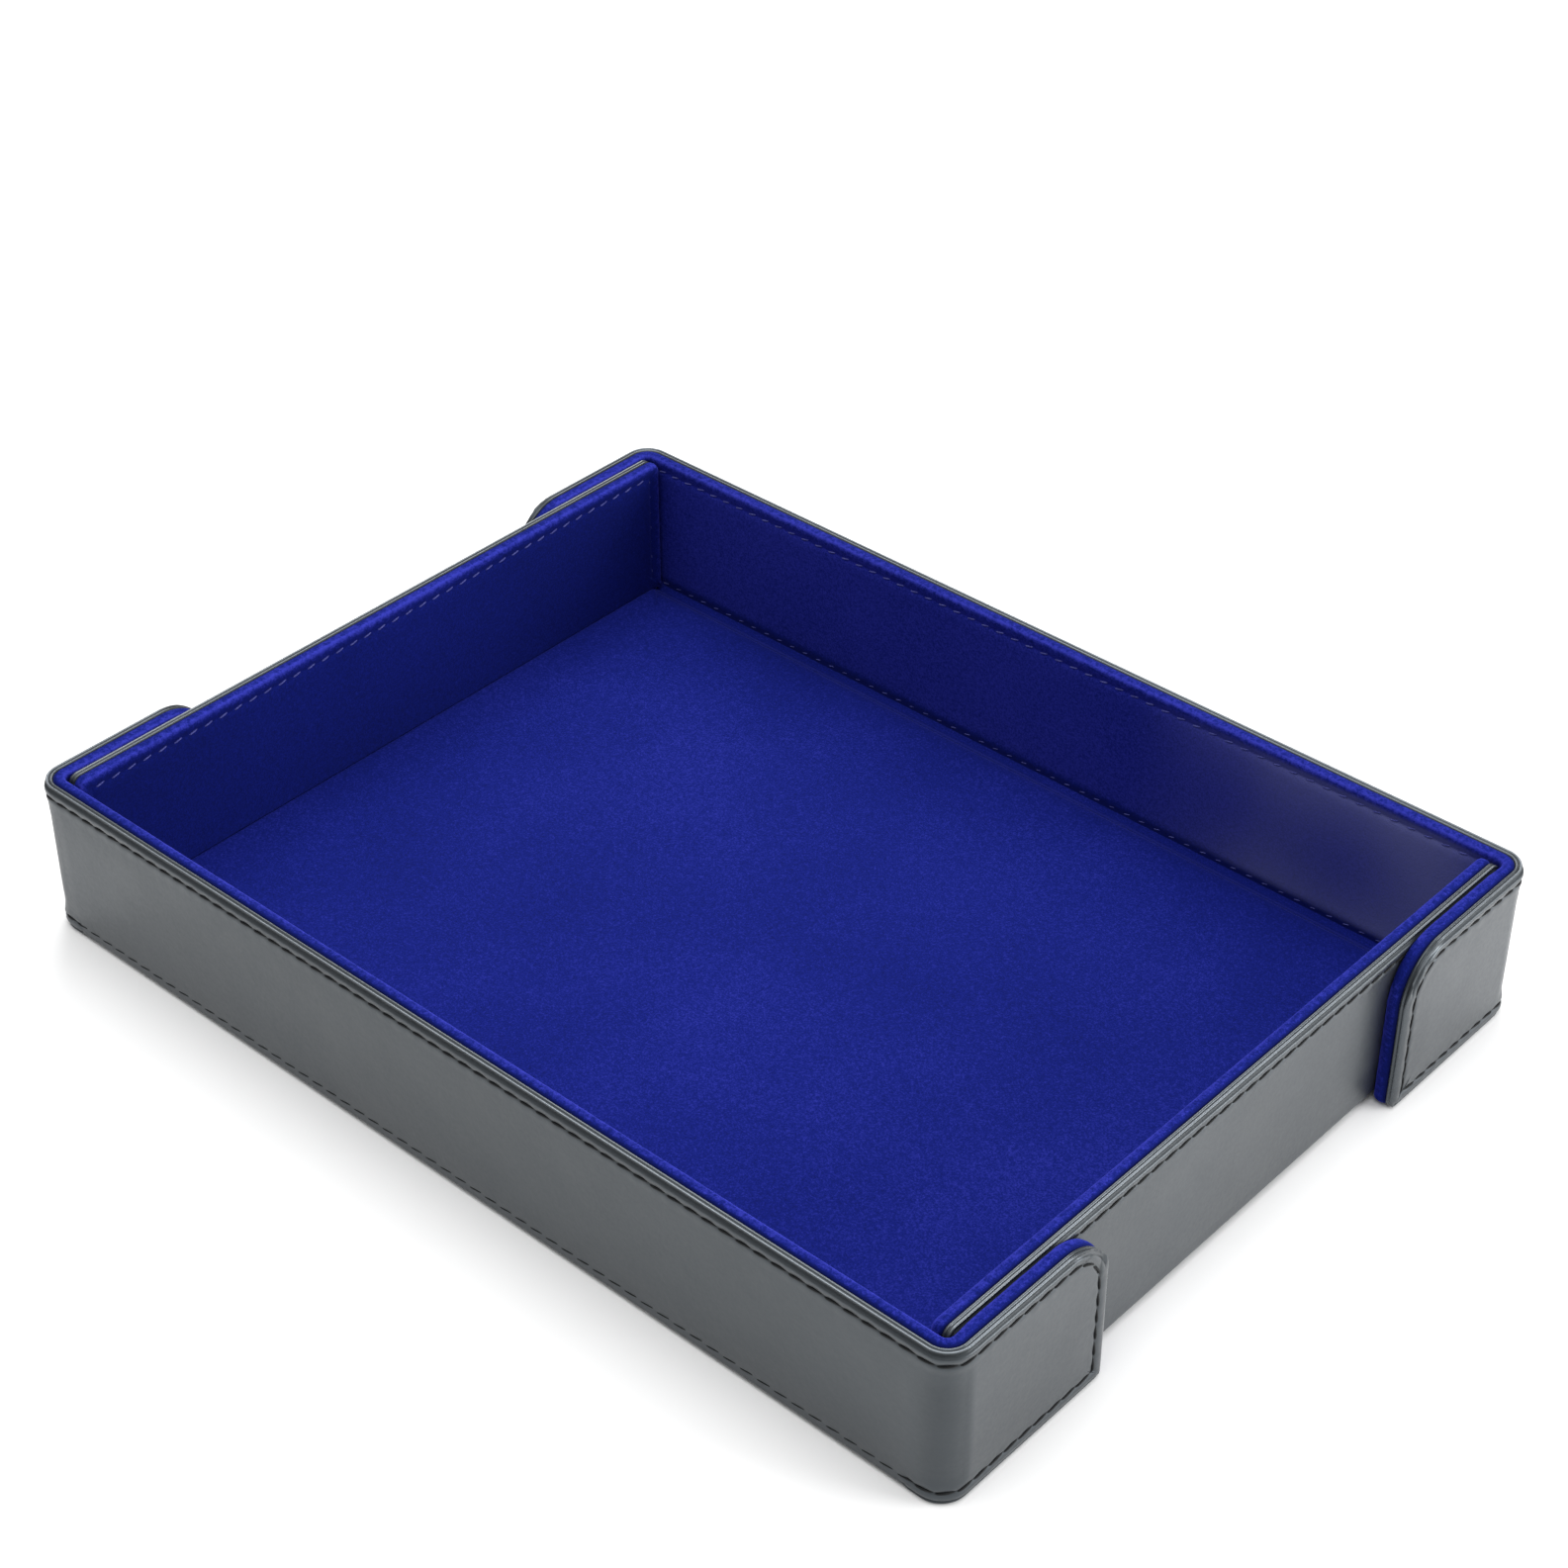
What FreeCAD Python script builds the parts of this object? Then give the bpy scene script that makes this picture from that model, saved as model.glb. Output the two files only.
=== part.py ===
"""Folding dice tray: a padded base, four stiffened walls and four corner flaps.

Every panel is a sandwich: an outer leather cover turned over a greyboard stiffener, and a velvet lining
on a thin foam on the other side. The panels are joined by soft folds of the same leather and velvet. The
long walls carry the corner flaps, which wrap round the corners to the outside of the short walls and hold
there by magnets hidden in both.

Millimetres. +X is the tray's length, +Z is up. The origin is the middle of the underside.
The shapes below are the tray set up for play, with its walls upright and its flaps closed.
"""

import FreeCAD, Part
import os
from math import sqrt

# Driving dimensions of the tray when it is set up
LENGTH = 250.0  # over the closed flaps
WIDTH = 186.0  # over the long walls
HEIGHT = 38.0

# The layers of a panel, from its outer face inwards
LEATHER = 0.8
BOARD = 2.0
LINING = 1.6
FLOOR_LINING = 1.2  # the floor's foam is thinner than the walls'
SHELL = LEATHER + BOARD
PANEL = SHELL + LINING
FLOOR = SHELL + FLOOR_LINING

# Outlines
LINING_INSET = 0.35  # the velvet stops this short of the leather's edge
LINING_ROUND = 0.9  # rolled edge of the velvet
FLAP_REACH = 45.0  # from the outer face of the long wall to the flap's free edge
FLAP_TOP_RADIUS = 12.0
FLAP_BOTTOM_RADIUS = 2.0
SHORT_WALL_RADIUS = 2.0
EDGE_RADIUS = 1.0

# Clearances
FLAP_GAP = 0.5  # between a closed flap and the short wall behind it
END_GAP = 1.0  # between a short wall's end and the long wall
CREASE = 0.4  # between the base's edge and the short walls' inner faces
LONG_CREASE = 3.8  # between the base's edge and the long walls' inner faces
FLAP_FOOT = 0.3  # a flap's lower edge clears the table by this

# Soft folds
LONG_FOLD_TOP = 1.3  # the long wall's stiff part starts this high
SHORT_FOLD_TOP = 3.0  # the short wall's stiff part starts this high
CORNER_RADIUS = 6.0  # outer radius of the bend between a long wall and its flap
FOLD_VELVET = 0.4  # bare velvet, without foam, in the folds of the base
CREASE_VELVET = 0.3  # the same velvet where it stands in the crease
CREASE_SLACK = 0.05  # between that velvet and the base's edge

# Magnets
MAGNET_RADIUS = 7.0
MAGNET_THICK = 1.8
MAGNET_FIT = 0.1
MAGNET_REACH = 27.0  # from the outer face of the long wall to the magnets' axis

# Worked out from the above
HALF_LENGTH = LENGTH / 2
HALF_WIDTH = WIDTH / 2
SHORT_OUTER = HALF_LENGTH - PANEL - FLAP_GAP  # the short walls' outer faces
SHORT_INNER = SHORT_OUTER - PANEL
LONG_INNER = HALF_WIDTH - PANEL
BASE_HALF_LENGTH = SHORT_INNER - CREASE
BASE_HALF_WIDTH = LONG_INNER - LONG_CREASE
SHORT_HALF = LONG_INNER - END_GAP  # half the length of a short wall
STIFF_HALF = HALF_LENGTH - CORNER_RADIUS  # half the length of a long wall's stiff part
MAGNET_Z = HEIGHT / 2

X, Y, Z = FreeCAD.Vector(1, 0, 0), FreeCAD.Vector(0, 1, 0), FreeCAD.Vector(0, 0, 1)


def rounded_face(u, v, spans, radii):
    """A face in the plane of u and v. spans is (u0, u1, v0, v1), and radii go round from (u0, v0) to (u1, v0)."""
    u0, u1, v0, v1 = spans
    corners = [(u0, v0), (u1, v0), (u1, v1), (u0, v1)]
    edges, first, last = [], None, None
    for i, (a, b) in enumerate(corners):
        back, ahead = corners[i - 1], corners[(i + 1) % 4]
        r = radii[i]
        to_back = ((back[0] > a) - (back[0] < a), (back[1] > b) - (back[1] < b))
        to_ahead = ((ahead[0] > a) - (ahead[0] < a), (ahead[1] > b) - (ahead[1] < b))
        start = u * (a + r * to_back[0]) + v * (b + r * to_back[1])
        end = u * (a + r * to_ahead[0]) + v * (b + r * to_ahead[1])
        if last is None:
            first = start
        else:
            edges.append(Part.makeLine(last, start))
        if r > 0:
            bow = r * (1 - sqrt(0.5))
            middle = u * (a + bow * (to_back[0] + to_ahead[0])) + v * (b + bow * (to_back[1] + to_ahead[1]))
            edges.append(Part.Arc(start, middle, end).toShape())
        last = end
    edges.append(Part.makeLine(last, first))
    return Part.Face(Part.Wire(edges))


def slab(u, v, w, spans, radii, near, far):
    """A plate with a rounded outline, from near to far along w."""
    face = rounded_face(u, v, spans, radii)
    face.translate(w * near)
    return face.extrude(w * (far - near))


def inset(spans, by):
    u0, u1, v0, v1 = spans
    return (u0 + by, u1 - by, v0 + by, v1 - by)


def smaller(radii, by):
    return [max(r - by, 0.0) for r in radii]


def magnet_disc(w, centre, radius, near, far):
    return Part.makeCylinder(radius, abs(far - near), centre + w * min(near, far), w)


def panel(name, u, v, w, spans, radii, outer, magnets=(), thickness=PANEL):
    """The cover, board, lining and magnets of one panel. w points inwards, and outer is the outer face's place."""
    shell = slab(u, v, w, spans, radii, outer, outer + SHELL)
    pocket_spans, pocket_radii = inset(spans, LEATHER), smaller(radii, LEATHER)
    board = slab(u, v, w, pocket_spans, pocket_radii, outer + LEATHER, outer + SHELL)
    parts = {name + "_cover": shell.cut(board)}
    for label, place in magnets:
        hole = magnet_disc(w, place, MAGNET_RADIUS + MAGNET_FIT, outer + LEATHER, outer + SHELL)
        board = board.cut(hole)
        near = outer + LEATHER + (BOARD - MAGNET_THICK) / 2
        parts[label] = magnet_disc(w, place, MAGNET_RADIUS, near, near + MAGNET_THICK)
    parts[name + "_board"] = board
    soft_spans, soft_radii = inset(spans, LINING_INSET), smaller(radii, LINING_INSET)
    face = outer + thickness
    lining = slab(u, v, w, soft_spans, soft_radii, outer + SHELL, face)
    inner = [e for e in lining.Edges if all(abs(p.Point.dot(w) - face) < 1e-6 for p in e.Vertexes)]
    parts[name + "_lining"] = lining.makeFillet(LINING_ROUND, inner)
    return parts


def base():
    """The floor of the tray, with its leather side on the table."""
    spans = (-BASE_HALF_LENGTH, BASE_HALF_LENGTH, -BASE_HALF_WIDTH, BASE_HALF_WIDTH)
    return panel("base", X, Y, Z, spans, [EDGE_RADIUS] * 4, 0.0, thickness=FLOOR)


def long_wall(name, side):
    """The stiff part of a long wall. side is -1 at the front and 1 at the rear."""
    spans = (-STIFF_HALF, STIFF_HALF, LONG_FOLD_TOP, HEIGHT)
    return panel(name, X, Z, Y * -side, spans, [0.0] * 4, -HALF_WIDTH)


def short_wall(name, side):
    """The stiff part of a short wall, with a magnet behind each flap. side is -1 at the left and 1 at the right."""
    spans = (-SHORT_HALF, SHORT_HALF, SHORT_FOLD_TOP, HEIGHT)
    radii = [0.0, 0.0, SHORT_WALL_RADIUS, SHORT_WALL_RADIUS]
    magnets = [
        (name + "_magnet_" + end, Y * (way * (HALF_WIDTH - MAGNET_REACH)) + Z * MAGNET_Z)
        for end, way in (("front", -1), ("rear", 1))
    ]
    return panel(name, Y, Z, X * -side, spans, radii, -SHORT_OUTER, magnets)


def flap(name, side_x, side_y):
    """The stiff part of a corner flap, which lies outside the short wall."""
    spans = (-(HALF_WIDTH - CORNER_RADIUS), -(HALF_WIDTH - FLAP_REACH), FLAP_FOOT, HEIGHT)
    radii = [0.0, FLAP_BOTTOM_RADIUS, FLAP_TOP_RADIUS, 0.0]
    along = Y * -side_y
    magnets = [(name + "_magnet", along * -(HALF_WIDTH - MAGNET_REACH) + Z * MAGNET_Z)]
    return panel(name, along, Z, X * -side_x, spans, radii, -HALF_LENGTH, magnets)


def bent_strip(across, half_length, along, outer, base_edge, radius, top):
    """The leather fold from the underside of the base to a wall's outer face: flat, then round the lower edge."""
    inner_radius = radius - LEATHER
    centre = outer - radius

    def at(a, z):
        return across * a + Z * z - along * half_length

    bow = sqrt(0.5)
    edges = [
        Part.makeLine(at(base_edge, 0), at(centre, 0)),
        Part.Arc(at(centre, 0), at(centre + radius * bow, radius * (1 - bow)), at(outer, radius)).toShape(),
        Part.makeLine(at(outer, top), at(outer - LEATHER, top)),
        Part.Arc(
            at(outer - LEATHER, radius),
            at(centre + inner_radius * bow, radius - inner_radius * bow),
            at(centre, LEATHER),
        ).toShape(),
        Part.makeLine(at(centre, LEATHER), at(base_edge, LEATHER)),
        Part.makeLine(at(base_edge, LEATHER), at(base_edge, 0)),
    ]
    if top > radius:
        edges.insert(2, Part.makeLine(at(outer, radius), at(outer, top)))
        edges.insert(4, Part.makeLine(at(outer - LEATHER, top), at(outer - LEATHER, radius)))
    return Part.Face(Part.Wire(edges)).extrude(along * (2 * half_length))


def crease_strip(across, half_length, along, base_edge, under_to):
    """The velvet fold: down the base's edge, then outwards to under the wall's lower edge."""
    crease_in = base_edge + CREASE_SLACK
    crease_out = crease_in + CREASE_VELVET
    points = [
        (crease_in, LEATHER),
        (under_to, LEATHER),
        (under_to, LEATHER + FOLD_VELVET),
        (crease_out, LEATHER + FOLD_VELVET),
        (crease_out, FLOOR - LINING_ROUND),
        (crease_in, FLOOR - LINING_ROUND),
    ]
    corners = [across * a + Z * z - along * half_length for a, z in points]
    face = Part.Face(Part.makePolygon(corners + corners[:1]))
    return face.extrude(along * (2 * half_length))


def long_fold(name, side):
    across = Y * side
    leather = bent_strip(
        across, BASE_HALF_LENGTH, X, HALF_WIDTH, BASE_HALF_WIDTH, LONG_FOLD_TOP, LONG_FOLD_TOP
    )
    velvet = crease_strip(across, BASE_HALF_LENGTH, X, BASE_HALF_WIDTH, HALF_WIDTH - LONG_FOLD_TOP)
    return {name + "_leather": leather, name + "_velvet": velvet}


def short_fold(name, side):
    across = X * side
    leather = bent_strip(
        across, BASE_HALF_WIDTH, Y, SHORT_OUTER, BASE_HALF_LENGTH, SHORT_FOLD_TOP, SHORT_FOLD_TOP
    )
    velvet = crease_strip(across, BASE_HALF_WIDTH, Y, BASE_HALF_LENGTH, SHORT_OUTER - SHORT_FOLD_TOP)
    return {name + "_leather": leather, name + "_velvet": velvet}


def corner_bend(name, side_x, side_y):
    """The soft upright bend between a long wall and its flap: a leather channel with the velvet inside it."""
    centre_x = side_x * (HALF_LENGTH - CORNER_RADIUS)
    centre_y = side_y * (HALF_WIDTH - CORNER_RADIUS)
    radii = {"outside": CORNER_RADIUS, "skin": CORNER_RADIUS - LEATHER}
    radii["shell"] = CORNER_RADIUS - SHELL
    radii["inside"] = CORNER_RADIUS - PANEL
    bottom, top = FLAP_FOOT, HEIGHT
    channel = [
        (radii["outside"], bottom),
        (radii["outside"], top),
        (radii["shell"], top),
        (radii["shell"], top - LEATHER),
        (radii["skin"], top - LEATHER),
        (radii["skin"], bottom + LEATHER),
        (radii["shell"], bottom + LEATHER),
        (radii["shell"], bottom),
    ]
    soft_top, soft_bottom = top - LINING_INSET, bottom + LINING_INSET
    soft = [
        (radii["shell"], soft_bottom),
        (radii["shell"], soft_top),
        (radii["inside"], soft_top),
        (radii["inside"], soft_bottom),
    ]
    axis_point = FreeCAD.Vector(centre_x, centre_y, 0)

    def turned(profile):
        # starts where the bend meets the long wall, and turns towards the flap
        corners = [axis_point + Y * (side_y * r) + Z * z for r, z in profile]
        face = Part.Face(Part.makePolygon(corners + corners[:1]))
        return face.revolve(axis_point, Z * -(side_x * side_y), 90)

    return {name + "_leather": turned(channel), name + "_velvet": turned(soft)}


def tray():
    """Every piece by its node name."""
    parts = base()
    for name, side in (("front", -1), ("rear", 1)):
        parts.update(long_wall(name + "_wall", side))
        parts.update(long_fold(name + "_fold", side))
    for name, side in (("left", -1), ("right", 1)):
        parts.update(short_wall(name + "_wall", side))
        parts.update(short_fold(name + "_fold", side))
    for name_y, side_y in (("front", -1), ("rear", 1)):
        for name_x, side_x in (("left", -1), ("right", 1)):
            corner = name_y + "_" + name_x
            parts.update(flap(corner + "_flap", side_x, side_y))
            parts.update(corner_bend(corner + "_bend", side_x, side_y))
    return parts


os.makedirs("parts", exist_ok=True)
for node, shape in tray().items():
    shape.exportStep(os.path.join("parts", node + ".step"))
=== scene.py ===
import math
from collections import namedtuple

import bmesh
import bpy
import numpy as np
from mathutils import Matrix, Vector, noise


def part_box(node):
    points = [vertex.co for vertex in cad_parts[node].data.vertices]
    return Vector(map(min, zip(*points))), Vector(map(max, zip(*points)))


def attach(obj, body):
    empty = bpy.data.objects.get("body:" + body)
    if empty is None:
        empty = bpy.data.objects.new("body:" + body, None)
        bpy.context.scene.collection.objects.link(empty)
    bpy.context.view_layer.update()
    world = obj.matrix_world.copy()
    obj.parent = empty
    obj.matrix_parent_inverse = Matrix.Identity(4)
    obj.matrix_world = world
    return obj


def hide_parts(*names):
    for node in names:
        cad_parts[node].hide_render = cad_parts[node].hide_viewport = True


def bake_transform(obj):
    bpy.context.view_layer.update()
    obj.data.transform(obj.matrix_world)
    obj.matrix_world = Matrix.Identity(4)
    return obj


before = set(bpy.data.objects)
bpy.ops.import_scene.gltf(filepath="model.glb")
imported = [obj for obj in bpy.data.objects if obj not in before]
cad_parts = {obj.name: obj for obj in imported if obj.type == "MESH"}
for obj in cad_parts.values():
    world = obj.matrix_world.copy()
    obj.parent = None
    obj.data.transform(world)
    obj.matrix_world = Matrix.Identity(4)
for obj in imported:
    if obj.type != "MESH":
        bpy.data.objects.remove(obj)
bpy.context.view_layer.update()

# The looks of a folding dice tray: leather outside, velvet inside, sewn round its free edges.
#
# Each panel's leather and velvet is a closed shell built of rings. A ring follows the panel's outline at
# one distance from its edge, and a profile says how far in and how deep each ring lies. The long walls
# are built flat, with their flaps in line, and are then wrapped round the tray's corners. Depths run from
# the outer face inwards.

MM = 0.001


def size_of(node):
    """The lowest and highest corners of a CAD node, in millimetres."""
    low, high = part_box(node)
    return np.array(low) / MM, np.array(high) / MM


# Sizes of the CAD model, in millimetres. The functions below work in millimetres too.
WALL_LOW, WALL_HIGH = size_of("front_wall_cover")
FLAP_LOW, FLAP_HIGH = size_of("front_right_flap_cover")
SHORT_LOW, SHORT_HIGH = size_of("right_wall_cover")
FLAP_MAGNET = np.abs(sum(size_of("front_right_flap_magnet"))) / 2

HALF_LENGTH = FLAP_HIGH[0]
HALF_WIDTH = -WALL_LOW[1]
HEIGHT = WALL_HIGH[2]
SHELL = WALL_HIGH[1] - WALL_LOW[1]  # leather and board
PANEL = size_of("front_wall_lining")[1][1] - WALL_LOW[1]  # leather, board and velvet
FLOOR = size_of("base_lining")[1][2]  # the same in the base, whose velvet is thinner
STIFF_HALF = WALL_HIGH[0]  # half the length of a long wall's stiff part
BEND_RADIUS = HALF_LENGTH - STIFF_HALF
BEND_LENGTH = BEND_RADIUS * math.pi / 2
FLAP_LENGTH = FLAP_HIGH[1] - FLAP_LOW[1]
FOOT = FLAP_LOW[2]  # the flaps' lower edge
LONG_FOLD_TOP = WALL_LOW[2]
SHORT_FOLD_TOP = SHORT_LOW[2]
SHORT_OUTER = SHORT_HIGH[0]
SHORT_HALF = SHORT_HIGH[1]
SHORT_INNER = SHORT_OUTER - PANEL
LONG_INNER = HALF_WIDTH - PANEL
BASE_X, BASE_Y = size_of("base_cover")[1][:2]
FLAT_HALF = STIFF_HALF + BEND_LENGTH + FLAP_LENGTH  # half a long wall with its flaps in line

# Outlines
STEP = 0.7  # spacing of the points along an outline
FLAP_TOP_RADIUS = 12.0
FLAP_BOTTOM_RADIUS = 2.0
SHORT_TOP_RADIUS = 2.0
BASE_RADIUS, BASE_STEP = 1.0, 1.5  # of the base's corners, and of the points along its outline
SPLIT = STIFF_HALF - 11.0  # where a long wall's own piece meets the pieces that bend round its corners

# Sewing. A seam's surface is the depth of the face it is sewn on, arch_height how far its stitches arch
# off that towards the outside, length how much thread shows of each and radius the thread's.
STITCH_INSET = 2.9  # from the panel's edge
STITCH_PITCH = 4.2
STITCH_SLANT = 0.28  # how far each end of a stitch lies off the seam's line
ROUND_SEAM = 1.2  # a seam turns its corners no tighter than this
BLACK_SEAM = {"surface": 0.22, "arch_height": 0.1, "length": STITCH_PITCH * 1.05, "radius": 0.25}
BLUE_SEAM = {"surface": PANEL - 0.35, "arch_height": -0.12, "length": STITCH_PITCH * 0.58, "radius": 0.19}
TUBE_SIDES, TUBE_SECTIONS = 6, 7  # of each stitch
LOW_SEAM_LIFT = 0.12  # how much higher the blue stitches lie along the long folds
END_SEAM_SINK = 0.27  # and how much deeper at the short walls' ends

# Leather
MIDDLE_RISE = 0.1  # how far a panel's middle stands out
SWELL, SWELL_SIZE = 0.14, 38.0  # height and size of its widest bumps
RIPPLE, RIPPLE_SIZE = 0.03, 9.0  # and of the smaller ones
STITCH_PULL, PULL_REACH = 0.12, 1.3  # the waves that the stitches pull: depth, and reach from the seam
UPRIGHT_HEM = 1.5  # width of the plain rounding on upright edges
BEND_SINK = 0.42  # how far the leather sinks at a bend
PUCKER, PUCKER_FROM_TOP, PUCKER_WIDTH = 0.22, 6.2, 1.1  # the ridge across the top of a bend
TURNED_HEM = 1.05  # width of the turned edge, which has its own look
FACE_FROM, FACE_TO = 3.2, 9.0  # how far in from its edge a panel begins to swell, and swells fully

# Velvet
PADDING, PADDING_SIZE = 0.12, 32.0  # height and size of its widest bumps
FUZZ, FUZZ_SIZE = 0.05, 1.8  # and of the pile's tufts
FLAP_SWELL = 0.3  # how much thicker the flaps' padding is, which lies against the short walls
PRESSED_RADIUS, PRESSED_DEPTH = 8.5, 0.12  # the marks that the magnets leave
PRESSED_RIM_SIZE = 5.0  # size of the bumps in those marks' rims
HAZE, HAZE_SIZE = 0.75, 30.0  # strength of the painted sheen haze towards one end of a long wall, and size of its patches
HAZE_FROM, HAZE_TO = STIFF_HALF - 95, STIFF_HALF - 35  # where that begins and is full
SHADED_FOOT = 0.45  # how much painted shade the velvet has along a long wall's fold
LONG_WALL_LIGHT, SHORT_WALL_LIGHT = 0.3, -0.2  # painted light on the long walls' velvet and painted shade on the short walls'

# Folds
LEATHER_STRIP, VELVET_STRIP = 0.55, 0.25  # thickness of their two layers
STRIP_STEP = 2.0  # spacing of the points along them
STRIP_OVERLAP = 0.05  # how far a fold's leather reaches into the base's
STRIP_CLEAR = 0.35  # how much it is pulled in at its corner, so that it clears the flaps
CREASE_START = (-0.5, FLOOR - 1.4)  # where the velvet starts: outwards from the base's edge, and up
CREASE_END = (0.7, 3.0)  # and where it ends: outwards from the wall's inner face, and up
CREASE_SAG = 1.6  # how deep it hangs between them
UNDER_ENDS = 2.0  # how far a long fold's velvet reaches under each short wall
FOLD_LIFT_FADE = 4.0  # how far up a long wall its edge's lift to the fold fades out

# Rings of a leather shell, as (inset from the outline, depth). They run from the outer face over the
# seam, the hem, the groove beside it and the two ridges of the turned edge, then back inside the shell.
LEATHER_RIM = [
    (4.6, 0.0), (3.9, -0.06), (3.4, 0.0), (3.1, 0.15), (2.9, 0.24), (2.7, 0.15), (2.4, -0.02),
    (1.9, -0.13), (1.5, -0.13), (1.2, -0.06), (1.0, 0.12), (0.86, 0.5), (0.48, 0.58), (0.22, 0.38),
    (0.0, 0.38), (-0.09, 0.52), (-0.08, 0.74), (0.04, 0.9), (0.4, 1.05), (0.04, 1.2), (-0.06, 1.34),
    (-0.07, 1.5), (0.0, 1.68), (0.2, 1.84), (0.5, 1.9), (0.8, 1.92), (0.8, 1.4), (0.8, 0.8),
]
# Rings of a wall's velvet, from its hidden back round the padded roll and over the seam to the face.
# Their depths are from the board's inner face, so that the roll follows the lining's thickness.
VELVET_RIM = [
    (inset, SHELL + depth)
    for inset, depth in (
        (2.0, 0.02), (0.79, 0.02), (0.75, -0.7), (0.5, -0.86), (0.2, -0.84), (0.0, -0.66),
        (-0.16, -0.35), (-0.24, 0.05), (-0.24, 0.5), (-0.16, 0.95), (0.0, 1.3), (0.25, 1.55),
        (0.6, 1.68), (1.1, 1.7), (1.7, 1.6), (2.3, 1.44), (2.7, 1.3), (2.9, 1.25), (3.1, 1.29),
        (3.4, 1.42), (3.9, 1.54), (4.8, 1.6),
    )
]
# The base's velvet has no seam. At its ends it meets the short walls, and at its sides it slopes down.
# Its depths are heights above the table.
BASE_VELVET_END = [
    (2.0, 2.82), (0.8, 2.82), (0.2, 2.82), (-0.2, 2.84), (-0.4, 3.0), (-0.42, 3.2), (-0.38, 3.4),
    (-0.28, 3.6), (-0.1, 3.76), (0.2, 3.88), (0.7, 3.95), (1.4, 3.99), (2.6, 4.0), (5.0, 4.0),
]
BASE_VELVET_SIDE = [
    (2.0, 2.3), (0.6, 2.0), (0.2, 1.9), (0.0, 2.05), (0.0, 2.4), (0.12, 2.7), (0.38, 2.98),
    (0.75, 3.24), (1.2, 3.46), (1.8, 3.66), (2.5, 3.82), (3.3, 3.93), (4.2, 3.99), (5.4, 4.0),
]


def cut_flush(profile):
    """A leather profile's rings where the leather runs on into a fold: square cut, with nothing turned."""
    corner = [inset for inset, _ in profile].index(0.0)
    steps = len(profile) - 3 - corner
    face = [(STITCH_INSET * (1 - i / corner), 0.0) for i in range(corner + 1)]
    thickness = [(0.0, SHELL * (i + 1) / steps) for i in range(steps)]
    return face + thickness + profile[-2:]


def without_seam(profile):
    """A velvet profile's rings along an edge that isn't sewn: plain and flat right up to it."""
    face = profile[-1][1]
    rounding = [(max(d, 0.0), face - 0.25 * max(1 - d, 0.0) ** 2) for d, _ in profile]
    return [(max(d, 0.0), w) if w < face - 0.6 else plain for (d, w), plain in zip(profile, rounding)]


VELVET_FOLDED = without_seam(VELVET_RIM)


def smooth_step(low, high, x):
    t = np.clip((x - low) / (high - low), 0.0, 1.0)
    return t * t * (3 - 2 * t)


def soft_noise(points, size, seed):
    """Perlin noise from -1 to 1 at an array of points in millimetres. size is that of its bumps."""
    shift = Vector((seed * 17.3, seed * 5.1, seed * 11.7))
    values = [noise.noise(Vector(p) / size + shift) for p in points.reshape(-1, 3)]
    return np.array(values).reshape(points.shape[:-1])


# ---------------------------------------------------------------------------------------------------
# Outlines and rings
# ---------------------------------------------------------------------------------------------------


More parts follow.
